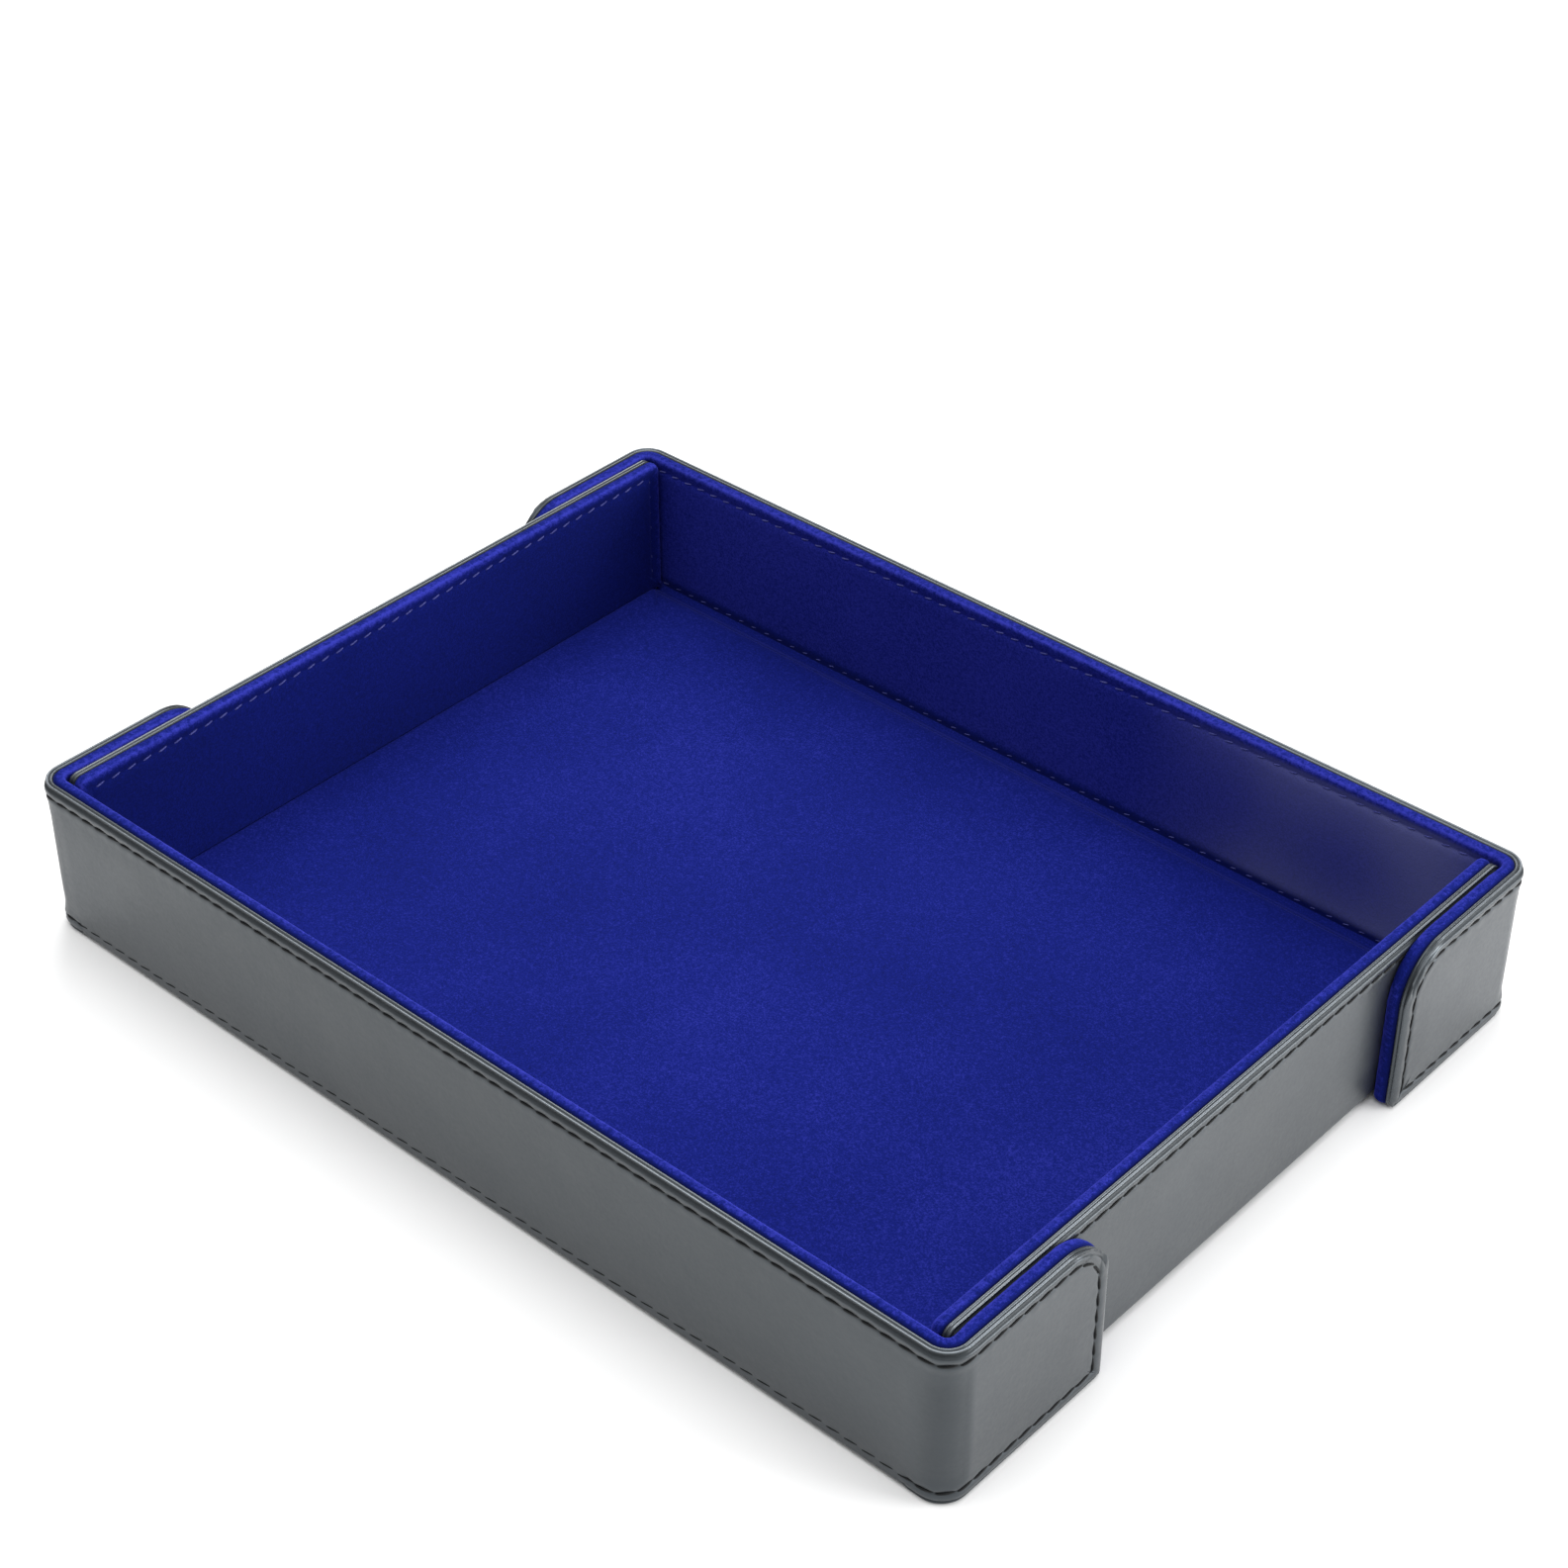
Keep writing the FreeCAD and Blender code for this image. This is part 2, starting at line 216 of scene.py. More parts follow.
class Outline:
    """A rounded rectangle from which rings are taken. u runs along the panel and v up it.

    radii are those of the lower and upper corners. Points with |u| up to still keep their u in every
    ring, so that the long walls can be split and wrapped round the corners along straight lines."""

    def __init__(self, half, low, high, radii, still, step=STEP):
        self.half, self.low, self.high, self.still = half, low, high, still
        self.lower_radius, self.upper_radius = radii
        count = max(2, round(2 * still / step))
        run = max(2, math.ceil((half - still) / step))
        turn = max(3, round(max(radii) * 1.6 / step))
        rise = max(2, math.ceil((high - low) / step))
        middle = [("still", u) for u in np.linspace(-still, still, count + 1)]
        outward = [("run", (i + 1) / run) for i in range(run)]
        lower = [("run", -t) for _, t in reversed(outward)] + middle + outward
        corner = [(i + 0.5) / turn for i in range(turn)]
        side = [i / rise for i in range(rise + 1)]
        self.kinds = (
            [("lower",) + p for p in lower]
            + [("lower_corner", 1, t) for t in corner]
            + [("side", 1, t) for t in side]
            + [("upper_corner", 1, t) for t in corner]
            + [("upper",) + p for p in reversed(lower)]
            + [("upper_corner", -1, 1 - t) for t in corner]
            + [("side", -1, 1 - t) for t in side]
            + [("lower_corner", -1, 1 - t) for t in corner]
        )
        self.is_lower = np.array([k[0] == "lower" for k in self.kinds])
        shares = {"side": lambda t: 0.0, "lower_corner": lambda t: 1 - t, "upper_corner": lambda t: t}
        self.faces_v = np.array([shares.get(k[0], lambda t: 1.0)(k[2]) for k in self.kinds])

    def ring(self, inset, least_radius=0.0):
        """The points of a ring as arrays u and v. inset is one number, or one for each point."""
        inset = np.broadcast_to(np.asarray(inset, float), (len(self.kinds),))
        u, v = np.zeros(len(inset)), np.zeros(len(inset))
        for i, (where, way, t) in enumerate(self.kinds):
            d = inset[i]
            low_turn = max(self.lower_radius, d + least_radius)
            high_turn = max(self.upper_radius, d + least_radius)
            if where in ("lower", "upper"):
                turn = low_turn if where == "lower" else high_turn
                if way == "still":
                    u[i] = t
                else:
                    u[i] = math.copysign(self.still + abs(t) * (self.half - turn - self.still), t)
                v[i] = self.low + d if where == "lower" else self.high - d
            elif where == "side":
                u[i] = way * (self.half - d)
                v[i] = self.low + low_turn + t * (self.high - high_turn - self.low - low_turn)
            else:
                turn = low_turn if where == "lower_corner" else high_turn
                r = turn - d
                angle = t * math.pi / 2
                if where == "lower_corner":
                    u[i] = way * (self.half - turn + r * math.sin(angle))
                    v[i] = self.low + turn - r * math.cos(angle)
                else:
                    u[i] = way * (self.half - turn + r * math.cos(angle))
                    v[i] = self.high - turn + r * math.sin(angle)
        return u, v

    def seam(self):
        """The seam's points and how far along it each lies."""
        u, v = self.ring(STITCH_INSET, ROUND_SEAM)
        steps = np.hypot(np.diff(u, append=u[0]), np.diff(v, append=v[0]))
        return u, v, np.concatenate([[0.0], np.cumsum(steps)])


def face_insets(rim_end, middle, count):
    """Insets from the sewn rim to the middle of a panel, closer together near the rim."""
    return [rim_end + (middle - rim_end) * (i / count) ** 1.4 for i in range(1, count + 1)]


def shell_rings(outline, profile, other, amount, face_depth, rings=7):
    """All rings of a closed shell, as arrays u, v, w and how much of the panel's face each one is.

    amount says for each point of a ring how far it goes from profile to the other one. The shell closes
    in the middle of its first face and of its last."""
    middle = (outline.high - outline.low) / 2
    start, end = profile[0], profile[-1]
    before = [(d, start[1]) for d in reversed(face_insets(start[0], middle, rings))]
    after = [(d, end[1]) for d in face_insets(end[0], middle, rings)]
    us, vs, ws, faces = [], [], [], []
    for (d, w), (other_d, other_w) in zip(before + profile + after, before + other + after):
        u, v = outline.ring(d + (other_d - d) * amount)
        us.append(u)
        vs.append(v)
        ws.append(w + (other_w - w) * amount)
        on_face = abs(w - face_depth) < 0.35 and d > 2.0
        faces.append(smooth_step(FACE_FROM, FACE_TO, d) if on_face else 0.0)
    return np.array(us), np.array(vs), np.array(ws), np.array(faces)


def grid_faces(rings, points):
    """Quads between neighbouring rings of a closed outline."""
    i, j = np.meshgrid(np.arange(rings - 1), np.arange(points), indexing="ij")
    k = (j + 1) % points
    quads = np.stack([i * points + j, i * points + k, (i + 1) * points + k, (i + 1) * points + j], axis=-1)
    return quads.reshape(-1, 4)


# ---------------------------------------------------------------------------------------------------
# Where the panels lie
# ---------------------------------------------------------------------------------------------------


def long_wall_place(side):
    """Wraps a long wall: u along it and round its corners, v up, w inwards. side is -1 at the front."""

    def place(u, v, w):
        along, way = np.abs(u), np.sign(u)
        turn = np.clip((along - STIFF_HALF) / BEND_LENGTH, 0, 1) * math.pi / 2
        past = np.maximum(along - STIFF_HALF - BEND_LENGTH, 0)
        reach = BEND_RADIUS - w
        bent_x = STIFF_HALF + reach * np.sin(turn)
        bent_y = HALF_WIDTH - BEND_RADIUS + reach * np.cos(turn) - past
        x = np.where(along < STIFF_HALF, u, way * bent_x)
        y = np.where(along < STIFF_HALF, HALF_WIDTH - w, bent_y)
        return np.stack([x, side * y, v], axis=-1)

    return place


def short_wall_place(side):
    """A short wall: u along Y, v up, w inwards. side is -1 at the left."""

    def place(u, v, w):
        return np.stack([side * (SHORT_OUTER - w), u, v], axis=-1)

    return place


def base_place(u, v, w):
    """The base: u along X, v along Y, w up."""
    return np.stack([u, v, w], axis=-1)


def long_wall_flat(side):
    """Where a point of a long wall lies on the flat cut of the leather or velvet."""
    return lambda u, v: (u, side * (HALF_WIDTH + v))


def short_wall_flat(side):
    return lambda u, v: (side * (SHORT_OUTER + v), u)


# ---------------------------------------------------------------------------------------------------
# Making pieces
# ---------------------------------------------------------------------------------------------------


def make_piece(name, points, faces, material, outward, flat=None, marks=None, capped=False):
    """A smooth mesh piece from points in millimetres. Its faces are turned to agree with outward.

    flat holds each point's place on the flat cut and its depth, and marks other amounts from 0 to 1 by
    name: the materials read them. capped closes the openings left where a shell was split."""
    mesh = bpy.data.meshes.new(name)
    used, faces = np.unique(np.asarray(faces), return_inverse=True)
    faces = faces.reshape(-1, 4)
    points = np.asarray(points)[used]
    mesh.from_pydata((points * MM).tolist(), [], faces.tolist())
    values = (points if flat is None else np.stack(flat, axis=-1)[used]) * MM
    attribute = mesh.attributes.new("flat", "FLOAT_VECTOR", "POINT")
    attribute.data.foreach_set("vector", values.ravel())
    for mark, amounts in (marks or {}).items():
        attribute = mesh.attributes.new(mark, "FLOAT", "POINT")
        attribute.data.foreach_set("value", np.asarray(amounts, float).reshape(-1)[used])

    work = bmesh.new()
    work.from_mesh(mesh)
    bmesh.ops.remove_doubles(work, verts=work.verts, dist=2e-6)
    bmesh.ops.dissolve_degenerate(work, edges=work.edges, dist=1e-7)
    if capped:
        rim = [e for e in work.edges if e.is_boundary]
        for e in rim:
            e.smooth = False
        bmesh.ops.holes_fill(work, edges=rim, sides=0)
    bmesh.ops.recalc_face_normals(work, faces=work.faces)
    facing = [f for f in work.faces if f.calc_center_median().dot(outward) > 0]
    total = sum((f.normal * f.calc_area() for f in facing), Vector())
    if total.dot(outward) < 0:
        bmesh.ops.reverse_faces(work, faces=work.faces)
    for f in work.faces:
        f.smooth = True
    work.to_mesh(mesh)
    work.free()
    piece = bpy.data.objects.new(name, mesh)
    bpy.context.scene.collection.objects.link(piece)
    mesh.materials.append(material)
    return piece


def stitch_waves(outline, inset):
    """How the seam's stitches pull the surface: 0 away from it, and waves along it."""
    _, _, along = outline.seam()
    total = along[-1]
    pitch = total / round(total / STITCH_PITCH)
    wave = 0.5 - 0.5 * np.cos(2 * math.pi * along[:-1] / pitch)
    near = np.exp(-(((inset - STITCH_INSET) / PULL_REACH) ** 2))
    return wave * near


def stitch_path(u, v, depth, arch_height):
    """Slants a stitch across its seam and arches it: its points, given their places along the seam."""
    share = np.linspace(-1, 1, len(u))
    tangent = np.array([u[-1] - u[0], v[-1] - v[0]])
    tangent = tangent / max(np.linalg.norm(tangent), 1e-9)
    slant = STITCH_SLANT * share
    arch = 1 - np.abs(share) ** 2.6
    return u - tangent[1] * slant, v + tangent[0] * slant, depth - arch_height * (arch * 1.5 - 0.5)


def stitch_tube(line, outer, radius):
    """The points of a thread of tapering ends along line. outer is a line just outside it."""
    share = np.linspace(-1, 1, TUBE_SECTIONS)
    ahead = np.gradient(line, axis=0)
    ahead /= np.linalg.norm(ahead, axis=1, keepdims=True)
    out = outer - line
    out /= np.linalg.norm(out, axis=1, keepdims=True)
    across = np.cross(ahead, out)
    taper = radius * np.sqrt(np.clip(1.02 - share**6, 0.05, 1))
    angles = [2 * math.pi * a / TUBE_SIDES for a in range(TUBE_SIDES)]
    tube = [line + (across * math.cos(a) + out * math.sin(a)) * taper[:, None] for a in angles]
    return np.stack(tube, axis=1).reshape(-1, 3)


def tube_faces(first):
    """The faces of a closed six-sided tube whose points start at number first."""
    rings = [[first + i * TUBE_SIDES + a for a in range(TUBE_SIDES)] for i in range(TUBE_SECTIONS)]
    faces = []
    for here, there in zip(rings, rings[1:]):
        for a in range(TUBE_SIDES):
            b = (a + 1) % TUBE_SIDES
            faces.append([here[a], here[b], there[b], there[a]])
    for ring in (rings[0], rings[-1]):
        faces.append(ring[:4])
        faces.append([ring[3], ring[4], ring[5], ring[0]])
    return faces


def stitch_tubes(outline, place, surface, arch_height, length, radius, buried=None, open_below=False):
    """The stitches round an outline: their points and faces in millimetres, and each face's u.

    buried says how much deeper in the pile a stitch lies, from its u and v. open_below leaves out the
    lower run."""
    u, v, along = outline.seam()
    u, v = np.append(u, u[0]), np.append(v, v[0])
    count = round(along[-1] / STITCH_PITCH)
    pitch = along[-1] / count
    middle = TUBE_SECTIONS // 2
    points, faces, centres = [], [], []
    for k in range(count):
        s = (k + 0.5) * pitch + np.linspace(-0.5, 0.5, TUBE_SECTIONS) * length
        stitch_u, stitch_v = np.interp(s, along, u), np.interp(s, along, v)
        on_lower_run = abs(stitch_v[middle] - outline.low - STITCH_INSET) < 0.8
        if open_below and on_lower_run:
            continue
        stitch_u, stitch_v, depth = stitch_path(stitch_u, stitch_v, surface, arch_height)
        if buried:
            depth = depth - buried(stitch_u[middle], stitch_v[middle])
        line = place(stitch_u, stitch_v, depth)
        outer = place(stitch_u, stitch_v, depth - 0.1)
        faces += tube_faces(len(points) * TUBE_SIDES * TUBE_SECTIONS)
        points.append(stitch_tube(line, outer, radius))
        centres.append(stitch_u[middle])
    faces = np.array(faces)
    return np.concatenate(points), faces, np.repeat(centres, len(faces) // len(centres))


# ---------------------------------------------------------------------------------------------------
# Materials
# ---------------------------------------------------------------------------------------------------


class Nodes:
    """A material's node tree, with short calls for what the materials below use."""

    def __init__(self, name):
        self.material = bpy.data.materials.new(name)
        self.material.use_nodes = True
        self.tree = self.material.node_tree
        self.shader = self.tree.nodes["Principled BSDF"]

    def add(self, kind, **inputs):
        node = self.tree.nodes.new(kind)
        for key, value in inputs.items():
            self.set(node, key, value)
        return node

    def set(self, node, key, value):
        """Sets or links an input given by its name, with _ for a space, or by its number, as in i1."""
        numbered = key[0] == "i" and key[1:].isdigit()
        socket = node.inputs[int(key[1:]) if numbered else key.replace("_", " ")]
        if isinstance(value, bpy.types.NodeSocket):
            self.tree.links.new(value, socket)
        else:
            socket.default_value = value

    def shade(self, **inputs):
        for key, value in inputs.items():
            self.set(self.shader, key, value)

    def flat(self):
        node = self.add("ShaderNodeAttribute")
        node.attribute_name = "flat"
        return node.outputs["Vector"]

    def mark(self, name):
        node = self.add("ShaderNodeAttribute")
        node.attribute_name = name
        return node.outputs["Fac"]

    def place(self):
        return self.add("ShaderNodeTexCoord").outputs["Object"]

    def noise(self, vector, scale, detail=3.0, roughness=0.5):
        node = self.add("ShaderNodeTexNoise", Vector=vector, Scale=scale, Detail=detail, Roughness=roughness)
        return node.outputs["Fac"]

    def cells(self, vector, scale, feature="F1"):
        node = self.add("ShaderNodeTexVoronoi", Vector=vector, Scale=scale)
        node.feature = feature
        return node.outputs["Distance"]

    def ramp(self, value, stops):
        node = self.add("ShaderNodeValToRGB", Fac=value)
        ramp = node.color_ramp
        while len(ramp.elements) < len(stops):
            ramp.elements.new(0.5)
        for element, (position, colour) in zip(ramp.elements, stops):
            element.position = position
            element.color = (*colour, 1.0) if len(colour) == 3 else colour
        return node.outputs["Color"]

    def span(self, value, low, high, to_low, to_high):
        node = self.add("ShaderNodeMapRange", i0=value, i1=low, i2=high, i3=to_low, i4=to_high)
        return node.outputs[0]

    def math(self, operation, a, b):
        node = self.add("ShaderNodeMath", i0=a, i1=b)
        node.operation = operation
        return node.outputs[0]

    def mix(self, amount, a, b):
        node = self.add("ShaderNodeMix")
        node.data_type = "RGBA"
        for index, value in ((0, amount), (6, a), (7, b)):
            if isinstance(value, bpy.types.NodeSocket):
                self.tree.links.new(value, node.inputs[index])
            else:
                node.inputs[index].default_value = value
        return node.outputs[2]

    def bump(self, height, strength, distance, normal=None):
        node = self.add("ShaderNodeBump", Height=height, Strength=strength, Distance=distance)
        if normal is not None:
            self.set(node, "Normal", normal)
        return node.outputs["Normal"]


def grey(value):
    """A faintly blue grey."""
    return (value, value * 1.1, value * 1.22)


def leather_material():
    """Black satin leather with a fine grain. Its turned edges are shinier, with a painted highlight on their
    ridges and painted shade in their grooves and along the seam. Where it bends round a corner with no board
    behind it, it is duller and has painted shade."""
    n = Nodes("black_leather")
    at = n.flat()
    patches = n.noise(at, 22.0, 4.0)
    clouds = n.noise(at, 75.0, 4.0, 0.6)
    fine = n.noise(at, 1100.0, 2.0)
    pebble = n.cells(at, 1700.0, "SMOOTH_F1")
    creases = n.noise(at, 300.0, 5.0, 0.6)
    face = n.ramp(patches, [(0.3, grey(0.013)), (0.7, grey(0.022))])
    turned = n.ramp(patches, [(0.3, grey(0.018)), (0.7, grey(0.026))])
    # Painted shade where the leather bends round a corner with no board behind it.
    bent = n.mix(n.mark("bent"), face, (*grey(0.012), 1.0))
    # Painted highlight on the ridges of the turned edges.
    rim = n.mix(n.mark("ridge_highlight"), turned, (*grey(0.13), 1.0))
    # Painted shade, near black, in the grooves of the turned edges and along the seam line.
    colour = n.mix(n.mark("groove_shade"), n.mix(n.mark("edge"), bent, rim), (*grey(0.002), 1.0))
    rough = n.math("ADD", n.span(patches, 0.3, 0.7, 0.33, 0.39), n.span(fine, 0.3, 0.7, -0.03, 0.04))
    rough = n.math("ADD", rough, n.span(clouds, 0.3, 0.7, -0.035, 0.035))
    rough = n.math("ADD", rough, n.span(n.mark("bent"), 0.0, 1.0, 0.0, 0.1))
    rough = n.math("ADD", rough, n.span(n.mark("edge"), 0.0, 1.0, 0.0, -0.1))
    rough = n.math("ADD", rough, n.span(n.mark("groove_shade"), 0.0, 1.0, 0.0, 0.4))
    pebbled = n.bump(pebble, n.span(n.mark("edge"), 0.0, 1.0, 0.16, 0.02), 0.00004)
    creased = n.bump(creases, n.span(n.mark("edge"), 0.0, 1.0, 0.2, 0.04), 0.0001, pebbled)
    clouded = n.bump(clouds, n.span(n.mark("edge"), 0.0, 1.0, 0.35, 0.0), 0.0003, creased)
    n.shade(Base_Color=colour, Roughness=rough, Normal=clouded)
    n.shade(Specular_IOR_Level=0.72, Specular_Tint=(0.78, 0.9, 1.0, 1.0))
    n.shade(Coat_Weight=0.12, Coat_Roughness=0.2)
    return n.material


def velvet_material():
    """Royal blue velvet: a dense short pile, with painted sheen on its rolled edges and a painted highlight
    along their crests. It is paler where it was brushed. It has painted sheen where the magnets pressed it,
    a painted sheen haze towards one end of each long wall, and painted shade beside the leather and along
    the folds. Its long walls get painted light and its short walls painted shade."""
    n = Nodes("blue_velvet")
    at = n.flat()
    brushed = n.noise(at, 16.0, 3.0, 0.55)
    clumps = n.noise(at, 900.0, 3.0, 0.65)
    pile = n.noise(at, 2400.0, 2.0, 0.7)
    nap_and_light = n.math("ADD", n.span(brushed, 0.3, 0.7, -0.1, 0.1), n.span(clumps, 0.3, 0.7, -0.09, 0.09))
    # Painted sheen where the magnets pressed the pile.
    nap_and_light = n.math("ADD", nap_and_light, n.span(n.mark("pressed"), 0.0, 1.0, 0.0, 0.4))
    # Painted sheen on the rolled edges, and a painted highlight along their crest.
    roll_sheen = n.math("MULTIPLY", n.span(clumps, 0.3, 0.7, -0.1, 0.38), n.mark("rolled"))
    nap_and_light = n.math("ADD", nap_and_light, roll_sheen)
    nap_and_light = n.math("ADD", nap_and_light, n.span(n.mark("crest"), 0.0, 1.0, 0.0, 0.45))
    # Painted shade where the velvet lies deep beside the leather and along the long walls' folds.
    nap_and_light = n.math("ADD", nap_and_light, n.span(n.mark("sunk"), 0.0, 1.0, 0.0, -0.9))
    # Painted light on the long walls' velvet and painted shade on the short walls'.
    nap_and_light = n.math("ADD", nap_and_light, n.mark("wall_light"))
    shade = n.math("ADD", nap_and_light, n.span(pile, 0.25, 0.75, 0.05, 0.7))
    dark, middle, light = (0.0024, 0.0058, 0.08), (0.004, 0.0092, 0.138), (0.024, 0.03, 0.3)
    colour = n.ramp(shade, [(0.0, dark), (0.4, middle), (1.0, light)])
    lumps = n.bump(clumps, 0.3, 0.00012)
    fuzz = n.bump(pile, 0.6, 0.0001, lumps)
    # Painted sheen haze: pale patches towards one end of each long wall.
    colour = n.mix(n.mark("sheen_haze"), colour, (0.13, 0.14, 0.3, 1.0))
    n.shade(Base_Color=colour, Roughness=0.95, Normal=fuzz)
    n.shade(Specular_IOR_Level=0.08)
    n.shade(Sheen_Weight=0.55, Sheen_Roughness=0.28, Sheen_Tint=(0.12, 0.16, 1.0, 1.0))
    return n.material


def thread_material(name, dark, light, sheen):
    """Twisted polyester thread: fine slanting plies."""
    n = Nodes(name)
    at = n.place()
    plies = n.noise(at, 3500.0, 1.0)
    colour = n.ramp(plies, [(0.3, dark), (0.75, light)])
    n.shade(Base_Color=colour, Roughness=0.75, Normal=n.bump(plies, 0.5, 0.00006))
    n.shade(Specular_IOR_Level=0.25, Sheen_Weight=sheen)
    return n.material


def greyboard_material():
    """Pressed recycled board with fibres in it."""
    n = Nodes("greyboard")
    at = n.place()
    fibres = n.noise(at, 700.0, 6.0, 0.7)
    colour = n.ramp(fibres, [(0.3, (0.2, 0.19, 0.17)), (0.7, (0.36, 0.34, 0.3))])
    n.shade(Base_Color=colour, Roughness=0.9, Normal=n.bump(fibres, 0.4, 0.0001))
    return n.material


def magnet_material():
    """Nickel-plated magnet with faint turning marks."""
    n = Nodes("nickel")
    at = n.place()
    marks = n.noise(at, 1800.0, 2.0)
    colour = n.ramp(marks, [(0.3, (0.5, 0.49, 0.46)), (0.7, (0.66, 0.65, 0.62))])
    n.shade(Base_Color=colour, Metallic=1.0, Roughness=n.span(marks, 0.2, 0.8, 0.18, 0.32))
    return n.material


LEATHER_LOOK = leather_material()
VELVET_LOOK = velvet_material()
BLACK_THREAD = thread_material("black_thread", grey(0.004), grey(0.01), 0.0)
BLUE_THREAD = thread_material("blue_thread", (0.03, 0.035, 0.2), (0.1, 0.11, 0.36), 0.1)


# ---------------------------------------------------------------------------------------------------
# The panels
# ---------------------------------------------------------------------------------------------------


# One layer of a panel: its rings as arrays u, v and w, and its marks, which the materials read.
Layer = namedtuple("Layer", "u v w marks")


def bend_amount(u, v):
    """How soft a long wall is: 1 at its bends, where no board backs the leather, and 0 elsewhere. It
    begins gently on the wall's side and ends sharply where the flap's board begins."""
    past = np.abs(u) - STIFF_HALF
    begins = smooth_step(-3.5, 2.5, past)
    lasts = 1 - smooth_step(BEND_LENGTH - 1.4, BEND_LENGTH + 0.6, past)
    over_foot = smooth_step(FOOT + 3.2, FOOT + 6.5, v)
    under_top = 1 - smooth_step(HEIGHT - 6.2, HEIGHT - 3.4, v)
    return (begins * lasts) * (over_foot * under_top)


def edge_distance(outline, u, v):
    """How far points lie in from the nearest side."""
    sides = np.stack([outline.half - np.abs(u), v - outline.low, outline.high - v])
    return sides.min(axis=0)


def plain_upright_hem(outline, inset, w):
    """Rounds a leather shell's upright edges, where the leather isn't ridged."""
    on_hem = smooth_step(-0.02, 0.05, inset) * (1 - smooth_step(UPRIGHT_HEM - 0.1, UPRIGHT_HEM + 0.1, inset))
    rounded = 0.55 * np.clip(1 - inset / UPRIGHT_HEM, 0, 1) ** 2 - 0.13
    return w + (rounded - w) * ((1 - outline.faces_v) * on_hem) * (w < 0.6)


def leather_marks(outline, inset, w, shown, sewn, bent):
    """Where a panel's leather is turned over and bent, with painted shade at the bends, in the grooves and
    along the seam, and a painted highlight on its ridges. shown is its outer side.
    """
    turned = (w > 0.1) & (inset < TURNED_HEM)
    # Painted shade in the turned edge's grooves on upper and lower edges, and along the seam line.
    grooves = smooth_step(0.03, 0.28, inset) * turned * outline.faces_v
    seam = np.exp(-(((inset - STITCH_INSET) / 0.28) ** 2)) * shown
    # Painted highlight on the turned edge's ridges: strongest on their outer part and along upper and lower
    # edges.
    ridge_highlight = smooth_step(0.02, 0.09, -inset) * np.where(w < 1.0, 1.0, 0.35) * (0.3 + 0.7 * outline.faces_v)
    return {
        "edge": turned * sewn,
        "bent": np.clip(bent, 0, 1),
        "groove_shade": np.maximum(grooves, seam) * sewn,
        "ridge_highlight": ridge_highlight * sewn,
    }


def leather_shell(outline, folded, seed, softness=None):
    """A panel's leather. folded is 1 where its edge runs on into a fold and 0 where it is sewn, and
    softness says from u and v how much the panel gives."""
    u, v, w, face = shell_rings(outline, LEATHER_RIM, cut_flush(LEATHER_RIM), folded, 0.0)
    shown = w < 0.5
    inset = edge_distance(outline, u, v)
    w = plain_upright_hem(outline, inset, w)
    at = np.stack([u, v, np.full_like(u, seed)], axis=-1)
    swell = soft_noise(at, SWELL_SIZE, seed) * SWELL
    ripple = soft_noise(at, RIPPLE_SIZE, seed + 3) * RIPPLE
    bent = softness(u, v) * shown if softness else np.zeros_like(u)
    pucker = np.exp(-(((HEIGHT - v - PUCKER_FROM_TOP) / PUCKER_WIDTH) ** 2)) * bent
    w = w + face[:, None] * (swell + ripple - MIDDLE_RISE)
    w = w + shown * stitch_waves(outline, inset) * (1 - folded) * STITCH_PULL
    w = w + bent * BEND_SINK - pucker * PUCKER
    # The bend's painted shade is lifted along the pucker ridge, which paints a highlight there.
    return Layer(u, v, w, leather_marks(outline, inset, w, shown, 1 - folded, bent - pucker * 0.7))


def velvet_slab(outline, profile, other, amount, seed, magnets=(), rings=7):
    """A panel's velvet. Its rim goes from profile to the other one by amount, which is 0 where it is
    sewn. magnets are (u, v) places."""
    top = profile[-1][1]
    u, v, w, face = shell_rings(outline, profile, other, amount, top, rings)
    inset = edge_distance(outline, u, v)
    at = np.stack([u, v, w + seed * 10], axis=-1)
    padding = soft_noise(at, PADDING_SIZE, seed) * PADDING
    fuzz = soft_noise(at, FUZZ_SIZE, seed + 5) * FUZZ
    reach = PRESSED_RADIUS + soft_noise(at, PRESSED_RIM_SIZE, seed + 7)
    # The magnets' pressed marks: a real dent in the padding, and the mask for their painted sheen.
    pressed = np.zeros_like(u)
    for magnet_u, magnet_v in magnets:
        away = np.hypot(np.abs(u) - magnet_u, v - magnet_v)
        pressed = np.maximum(pressed, np.exp(-((away / reach) ** 4)))
    w = w + face[:, None] * (padding - pressed * PRESSED_DEPTH) + (w > SHELL) * fuzz
    sewn = (top > FLOOR) * (1 - amount)
    # Painted light on the roll: a highlight along its crest, and sheen over the whole roll.
    crest = np.exp(-(((w - top + 0.25) / 0.35) ** 2)) * (1 - smooth_step(0.4, 0.9, inset))
    rolled = (1 - smooth_step(0.6, 2.2, inset)) * sewn
    # Painted shade where the velvet lies deep beside the leather.
    sunk = (1 - smooth_step(SHELL - 0.85, SHELL - 0.1, w)) * sewn
    return Layer(u, v, w, {"pressed": pressed, "rolled": rolled, "crest": crest * sewn, "sunk": sunk})


def everything(u):
    """Chooses all faces."""
    return np.full(len(u), True)


def part_of_wall(way):
    """Chooses the faces of a long wall (way 0), or of its left (-1) or right (1) flap, by their u."""
    if way:
        return lambda u: way * u > SPLIT
    return lambda u: np.abs(u) < SPLIT


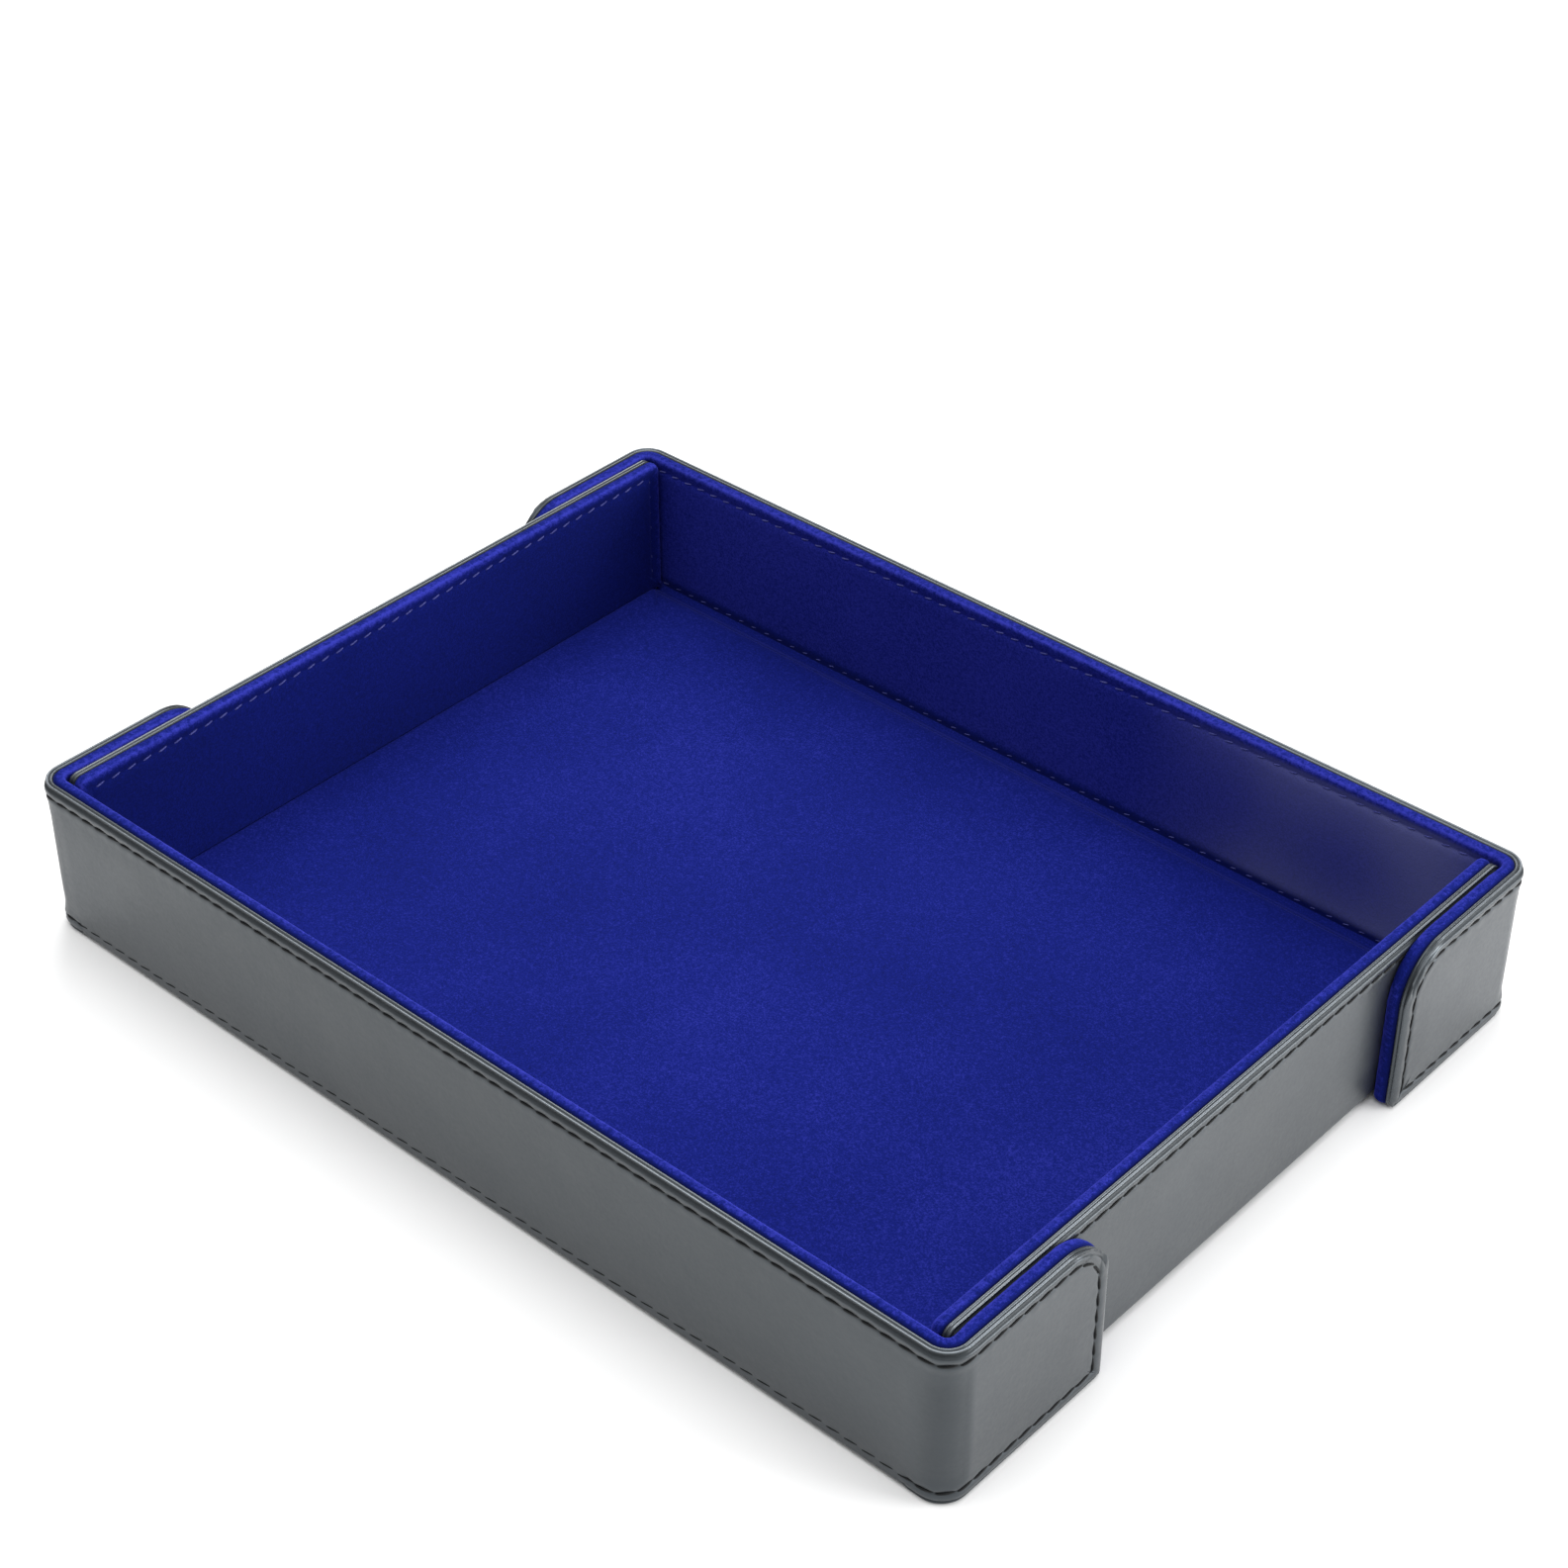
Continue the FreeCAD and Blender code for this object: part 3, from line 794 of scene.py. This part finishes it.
def layer_piece(name, layer, place, flat, material, outward, chosen, capped):
    """The part of a layer whose faces are chosen by their u."""
    points = place(layer.u, layer.v, layer.w).reshape(-1, 3)
    u, v, w = layer.u.reshape(-1), layer.v.reshape(-1), layer.w.reshape(-1)
    faces = grid_faces(*layer.u.shape)
    kept = faces[chosen(u[faces].mean(axis=1))]
    return make_piece(name, points, kept, material, outward, (*flat(u, v), w), layer.marks, capped)


def panel_pieces(name, layers, seams, place, flat, outward, chosen=everything, capped=False):
    """The pieces of a panel, or of its chosen part: leather, velvet and the thread of its seams."""
    leather, velvet = layers
    pieces = [
        layer_piece(name + "_leather", leather, place, flat, LEATHER_LOOK, outward, chosen, capped),
        layer_piece(name + "_velvet", velvet, place, flat, VELVET_LOOK, -outward, chosen, capped),
    ]
    threads = (("_black_thread", BLACK_THREAD), ("_blue_thread", BLUE_THREAD))
    for (points, faces, centres), (ending, look) in zip(seams, threads):
        pieces.append(make_piece(name + ending, points, faces[chosen(centres)], look, outward))
    return pieces


def long_velvet(outline, folded, side, seed):
    """A long wall's velvet: thicker on the flaps, with painted shade along the fold and a painted sheen haze
    towards one end.
    """
    flaps = STIFF_HALF + BEND_LENGTH
    magnets = [(flaps + HALF_WIDTH - BEND_RADIUS - FLAP_MAGNET[1], FLAP_MAGNET[2])]
    u, v, w, marks = velvet_slab(outline, VELVET_RIM, VELVET_FOLDED, folded, seed + 1, magnets)
    on_flap = smooth_step(flaps, flaps + 5, np.abs(u))
    w = w + on_flap * FLAP_SWELL * np.clip((w - SHELL) / (PANEL - SHELL), 0, 1)
    # Painted shade along the fold.
    by_fold = folded * (1 - smooth_step(FOOT + 2.5, FOOT + 5.5, v))
    marks["sunk"] = np.maximum(marks["sunk"], by_fold * SHADED_FOOT)
    on_wall = 1 - smooth_step(STIFF_HALF - 9, STIFF_HALF + 5, np.abs(u))
    on_wall = on_wall * (1 - marks["rolled"]) * (1 - by_fold)
    # Painted sheen haze in pale patches towards one end of the wall.
    patches = np.clip(0.75 + soft_noise(np.stack([u, v, w], axis=-1), HAZE_SIZE, seed + 9), 0, 1)
    marks["sheen_haze"] = smooth_step(HAZE_FROM, HAZE_TO, side * u) * patches * HAZE * on_wall
    # Painted light on the long wall's velvet.
    marks["wall_light"] = on_wall * LONG_WALL_LIGHT
    return Layer(u, v, w, marks)


def raised_low_seam(u, v):
    """Along its fold a long wall's velvet has no groove to hold the stitches."""
    return -LOW_SEAM_LIFT * (v < FOOT + 4 and abs(u) < BASE_X)


def long_wall(name, side, seed):
    """A long wall with its two flaps: leather, velvet and the closed seam round all three."""
    wall = name + "_wall"
    place = long_wall_place(side)
    still = STIFF_HALF + BEND_LENGTH + 4.0
    outline = Outline(FLAT_HALF, FOOT, HEIGHT, (FLAP_BOTTOM_RADIUS, FLAP_TOP_RADIUS), still)
    edge_u, _ = outline.ring(0.0)
    folded = outline.is_lower * (1 - smooth_step(BASE_X - 0.4, BASE_X + 1.2, np.abs(edge_u)))

    def lifted(u, v, w):
        """Places the wall, after lifting its lower edge to the fold's height."""
        rise = folded * (LONG_FOLD_TOP - FOOT) * np.clip(1 - (v - FOOT) / FOLD_LIFT_FADE, 0, 1)
        return place(u, v + rise, w)

    layers = (leather_shell(outline, folded, seed, bend_amount), long_velvet(outline, folded, side, seed))
    seams = (
        stitch_tubes(outline, place, **BLACK_SEAM),
        stitch_tubes(outline, place, buried=raised_low_seam, **BLUE_SEAM),
    )
    for way, end in ((0, ""), (-1, "left"), (1, "right")):
        label = f"{name}_{end}_flap" if end else wall
        leather, velvet, *threads = panel_pieces(
            label, layers, seams, lifted, long_wall_flat(side), Vector((0, side, 0)), part_of_wall(way), True
        )
        for piece in [leather, velvet, *threads]:
            if end:
                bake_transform(piece)
            else:
                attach(piece, wall)
        covers = [label + "_cover"] + ([f"{name}_{end}_bend_leather"] if end else [])
        linings = [label + "_lining"] + ([f"{name}_{end}_bend_velvet"] if end else [])
        declare(covers, linings)


def declare(covers, linings):
    """Hides the CAD nodes that a panel's leather and velvet stand for."""
    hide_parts(*covers)
    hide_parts(*linings)


def sunk_end_seam(u, _):
    """At a short wall's ends the stitches lie deep in the pile."""
    return END_SEAM_SINK * (abs(u) > SHORT_HALF - 4)


def short_wall(name, side, seed):
    """A short wall, sewn along its top and both ends."""
    place = short_wall_place(side)
    outline = Outline(SHORT_HALF, SHORT_FOLD_TOP, HEIGHT, (0.0, SHORT_TOP_RADIUS), SHORT_HALF - 20.0)
    folded = outline.is_lower * 1.0
    layers = (
        leather_shell(outline, folded, seed),
        velvet_slab(outline, VELVET_RIM, VELVET_FOLDED, folded, seed + 1),
    )
    marks = layers[1].marks
    # Painted shade on the short wall's velvet, away from its roll.
    marks["wall_light"] = (1 - marks["rolled"]) * SHORT_WALL_LIGHT
    seams = (
        stitch_tubes(outline, place, open_below=True, **BLACK_SEAM),
        stitch_tubes(outline, place, buried=sunk_end_seam, open_below=True, **BLUE_SEAM),
    )
    leather, velvet, *threads = panel_pieces(
        name, layers, seams, place, short_wall_flat(side), Vector((side, 0, 0))
    )
    for piece in [leather, velvet, *threads]:
        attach(piece, name)
    declare([name + "_cover"], [name + "_lining"])


def base_flat(u, v):
    return u, v


def base(seed):
    """The floor of the tray. It has no seam: its leather and velvet run on into the folds."""
    outline = Outline(BASE_X, -BASE_Y, BASE_Y, (BASE_RADIUS, BASE_RADIUS), 20.0, BASE_STEP)
    leather = leather_shell(outline, np.ones(len(outline.kinds)), seed)
    leather = leather._replace(w=np.maximum(leather.w, 0.0))  # nothing sinks below the table
    velvet = velvet_slab(outline, BASE_VELVET_END, BASE_VELVET_SIDE, outline.faces_v, seed + 1, rings=16)
    down = Vector((0, 0, -1))
    leather, velvet = panel_pieces("base", (leather, velvet), (), base_place, base_flat, down)
    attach(leather, "base")
    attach(velvet, "base")
    declare(["base_cover"], ["base_lining"])


def strip(name, path, thickness, half_length, across, along, material):
    """A thin closed band that follows path, points (outwards, up), on its inner side, along a fold."""
    path = np.array(path)
    ahead = np.gradient(path, axis=0)
    ahead /= np.linalg.norm(ahead, axis=1, keepdims=True)
    normal = np.stack([-ahead[:, 1], ahead[:, 0]], axis=-1)
    loop = np.concatenate([path, (path + normal * thickness)[::-1]])
    travelled = np.concatenate([[0], np.cumsum(np.linalg.norm(np.diff(path, axis=0), axis=1))])
    out = path[0][0] + np.concatenate([travelled, travelled[::-1]])
    across, along, up = np.array(across, float), np.array(along, float), np.array([0, 0, 1.0])
    count = max(2, round(2 * half_length / STRIP_STEP))
    points, flats = [], []
    for s in np.linspace(-half_length, half_length, count + 1):
        points.append(across * loop[:, :1] + up * loop[:, 1:] + along * s)
        flats.append(across * out[:, None] + along * s)
    faces = grid_faces(count + 1, len(loop))
    flat = np.concatenate(flats).T
    return make_piece(name, np.concatenate(points), faces, material, Vector(across), flat, capped=True)


def leather_fold_path(outer, base_edge, radius):
    """From the base's edge round the tray's lower outer edge."""
    run = outer - radius - base_edge
    path = [(base_edge - STRIP_OVERLAP + run * t, 0.0) for t in np.linspace(0, 1, 7)[:-1]]
    for angle in np.radians(np.linspace(-90, 0, 11)):
        reach = radius + STRIP_CLEAR * math.sin(2 * angle)
        path.append((outer - radius + reach * math.cos(angle), radius + reach * math.sin(angle)))
    return path


def hanging_path(start, end):
    """From start to end, hanging CREASE_SAG deep between them."""
    path = []
    for t in np.linspace(0, 1, 13):
        sag = CREASE_SAG * math.sin(math.pi * t**1.6)
        path.append((start[0] + (end[0] - start[0]) * t, start[1] + (end[1] - start[1]) * t - sag))
    return path


def declare_strip(name, material):
    """Hides the CAD node that one of a fold's two layers stands for."""
    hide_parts(name + "_" + material)


def fold(name, side, across, along, half_length, outer, base_edge, radius, wall_inner, under_ends):
    """The leather and velvet of a fold between the base and a wall. Its leather turns up with radius at
    outer, and under_ends is how much longer its velvet is at each end, under the neighbouring walls."""
    way = np.array(across) * side
    leather_path = leather_fold_path(outer, base_edge, radius)
    start = (base_edge + CREASE_START[0], CREASE_START[1])
    end = (wall_inner + CREASE_END[0], CREASE_END[1])
    velvet_path = hanging_path(start, end)
    velvet_half = half_length + under_ends
    leather = strip(name + "_leather_strip", leather_path, LEATHER_STRIP, half_length, way, along,
                    LEATHER_LOOK)
    velvet = strip(name + "_velvet_strip", velvet_path, VELVET_STRIP, velvet_half, way, along,
                   VELVET_LOOK)
    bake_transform(leather)
    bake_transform(velvet)
    declare_strip(name, "leather")
    declare_strip(name, "velvet")


base(11)
for wall_name, wall_side, wall_seed in (("front", -1, 21), ("rear", 1, 31)):
    long_wall(wall_name, wall_side, wall_seed)
    fold(wall_name + "_fold", wall_side, (0, 1, 0), (1, 0, 0), BASE_X,
         HALF_WIDTH, BASE_Y, LONG_FOLD_TOP, LONG_INNER, UNDER_ENDS)
for wall_name, wall_side, wall_seed in (("left", -1, 41), ("right", 1, 51)):
    short_wall(wall_name + "_wall", wall_side, wall_seed)
    fold(wall_name + "_fold", wall_side, (1, 0, 0), (0, 1, 0), BASE_Y,
         SHORT_OUTER, BASE_X, SHORT_FOLD_TOP, SHORT_INNER, 0.0)

GREYBOARD, NICKEL = greyboard_material(), magnet_material()
for node_name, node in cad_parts.items():
    if node_name.endswith("_board") or "_magnet" in node_name:
        for slot in node.material_slots:
            slot.material = NICKEL if "_magnet" in node_name else GREYBOARD


# ---------------------------------------------------------------------------------------------------
# Floor, light and camera
# ---------------------------------------------------------------------------------------------------


def floor():
    """A wide matt white ground."""
    n = Nodes("paper_floor")
    mottle = n.noise(n.place(), 3.0, 2.0)
    n.shade(Base_Color=n.ramp(mottle, [(0.3, (0.9, 0.9, 0.9)), (0.7, (0.92, 0.92, 0.92))]), Roughness=0.7)
    n.shade(Specular_IOR_Level=0.2)
    reach = 6.0
    mesh = bpy.data.meshes.new("floor")
    corners = [(-reach, -reach, 0), (reach, -reach, 0), (reach, reach, 0), (-reach, reach, 0)]
    mesh.from_pydata(corners, [], [(0, 1, 2, 3)])
    mesh.materials.append(n.material)
    piece = bpy.data.objects.new("floor", mesh)
    bpy.context.scene.collection.objects.link(piece)


def area_light(name, azimuth, elevation, distance, size, power):
    """A soft square light aimed at the tray, placed by its direction from it."""
    a, e = math.radians(azimuth), math.radians(elevation)
    back = Vector((math.sin(a) * math.cos(e), -math.cos(a) * math.cos(e), math.sin(e)))
    data = bpy.data.lights.new(name, "AREA")
    data.size = size
    data.energy = power
    light = bpy.data.objects.new(name, data)
    light.location = back * distance
    light.rotation_mode = "QUATERNION"
    light.rotation_quaternion = back.to_track_quat("Z", "Y")
    bpy.context.scene.collection.objects.link(light)


def lighting():
    """A white surround and four soft lights."""
    world = bpy.data.worlds.new("studio")
    world.use_nodes = True
    background = world.node_tree.nodes["Background"]
    background.inputs["Color"].default_value = (1.0, 1.0, 1.0, 1.0)
    background.inputs["Strength"].default_value = 0.46
    bpy.context.scene.world = world
    area_light("overhead", 0, 88, 1.3, 1.5, 20.0)
    area_light("back", 222, 42, 1.3, 0.6, 5.5)
    area_light("front_left", -50, 48, 1.3, 1.0, 0.8)
    area_light("right", 118, 15, 1.0, 0.5, 8.8)
    bpy.context.scene.view_settings.view_transform = "Standard"


def camera():
    """Looks down at the tray's front right corner. The tray sits low and left in the picture."""
    azimuth, elevation, distance = math.radians(41.9), math.radians(36.5), 0.7373
    target = Vector((-0.0403, 0.049, 0.0))
    across = math.cos(elevation)
    back = Vector((math.sin(azimuth) * across, -math.cos(azimuth) * across, math.sin(elevation)))
    data = bpy.data.cameras.new("camera")
    data.sensor_width = 36.0
    data.lens = 73.85
    data.clip_start = 0.01
    eye = bpy.data.objects.new("camera", data)
    eye.location = target + back * distance
    eye.rotation_mode = "QUATERNION"
    eye.rotation_quaternion = back.to_track_quat("Z", "Y")
    bpy.context.scene.collection.objects.link(eye)
    bpy.context.scene.camera = eye


floor()
lighting()
camera()
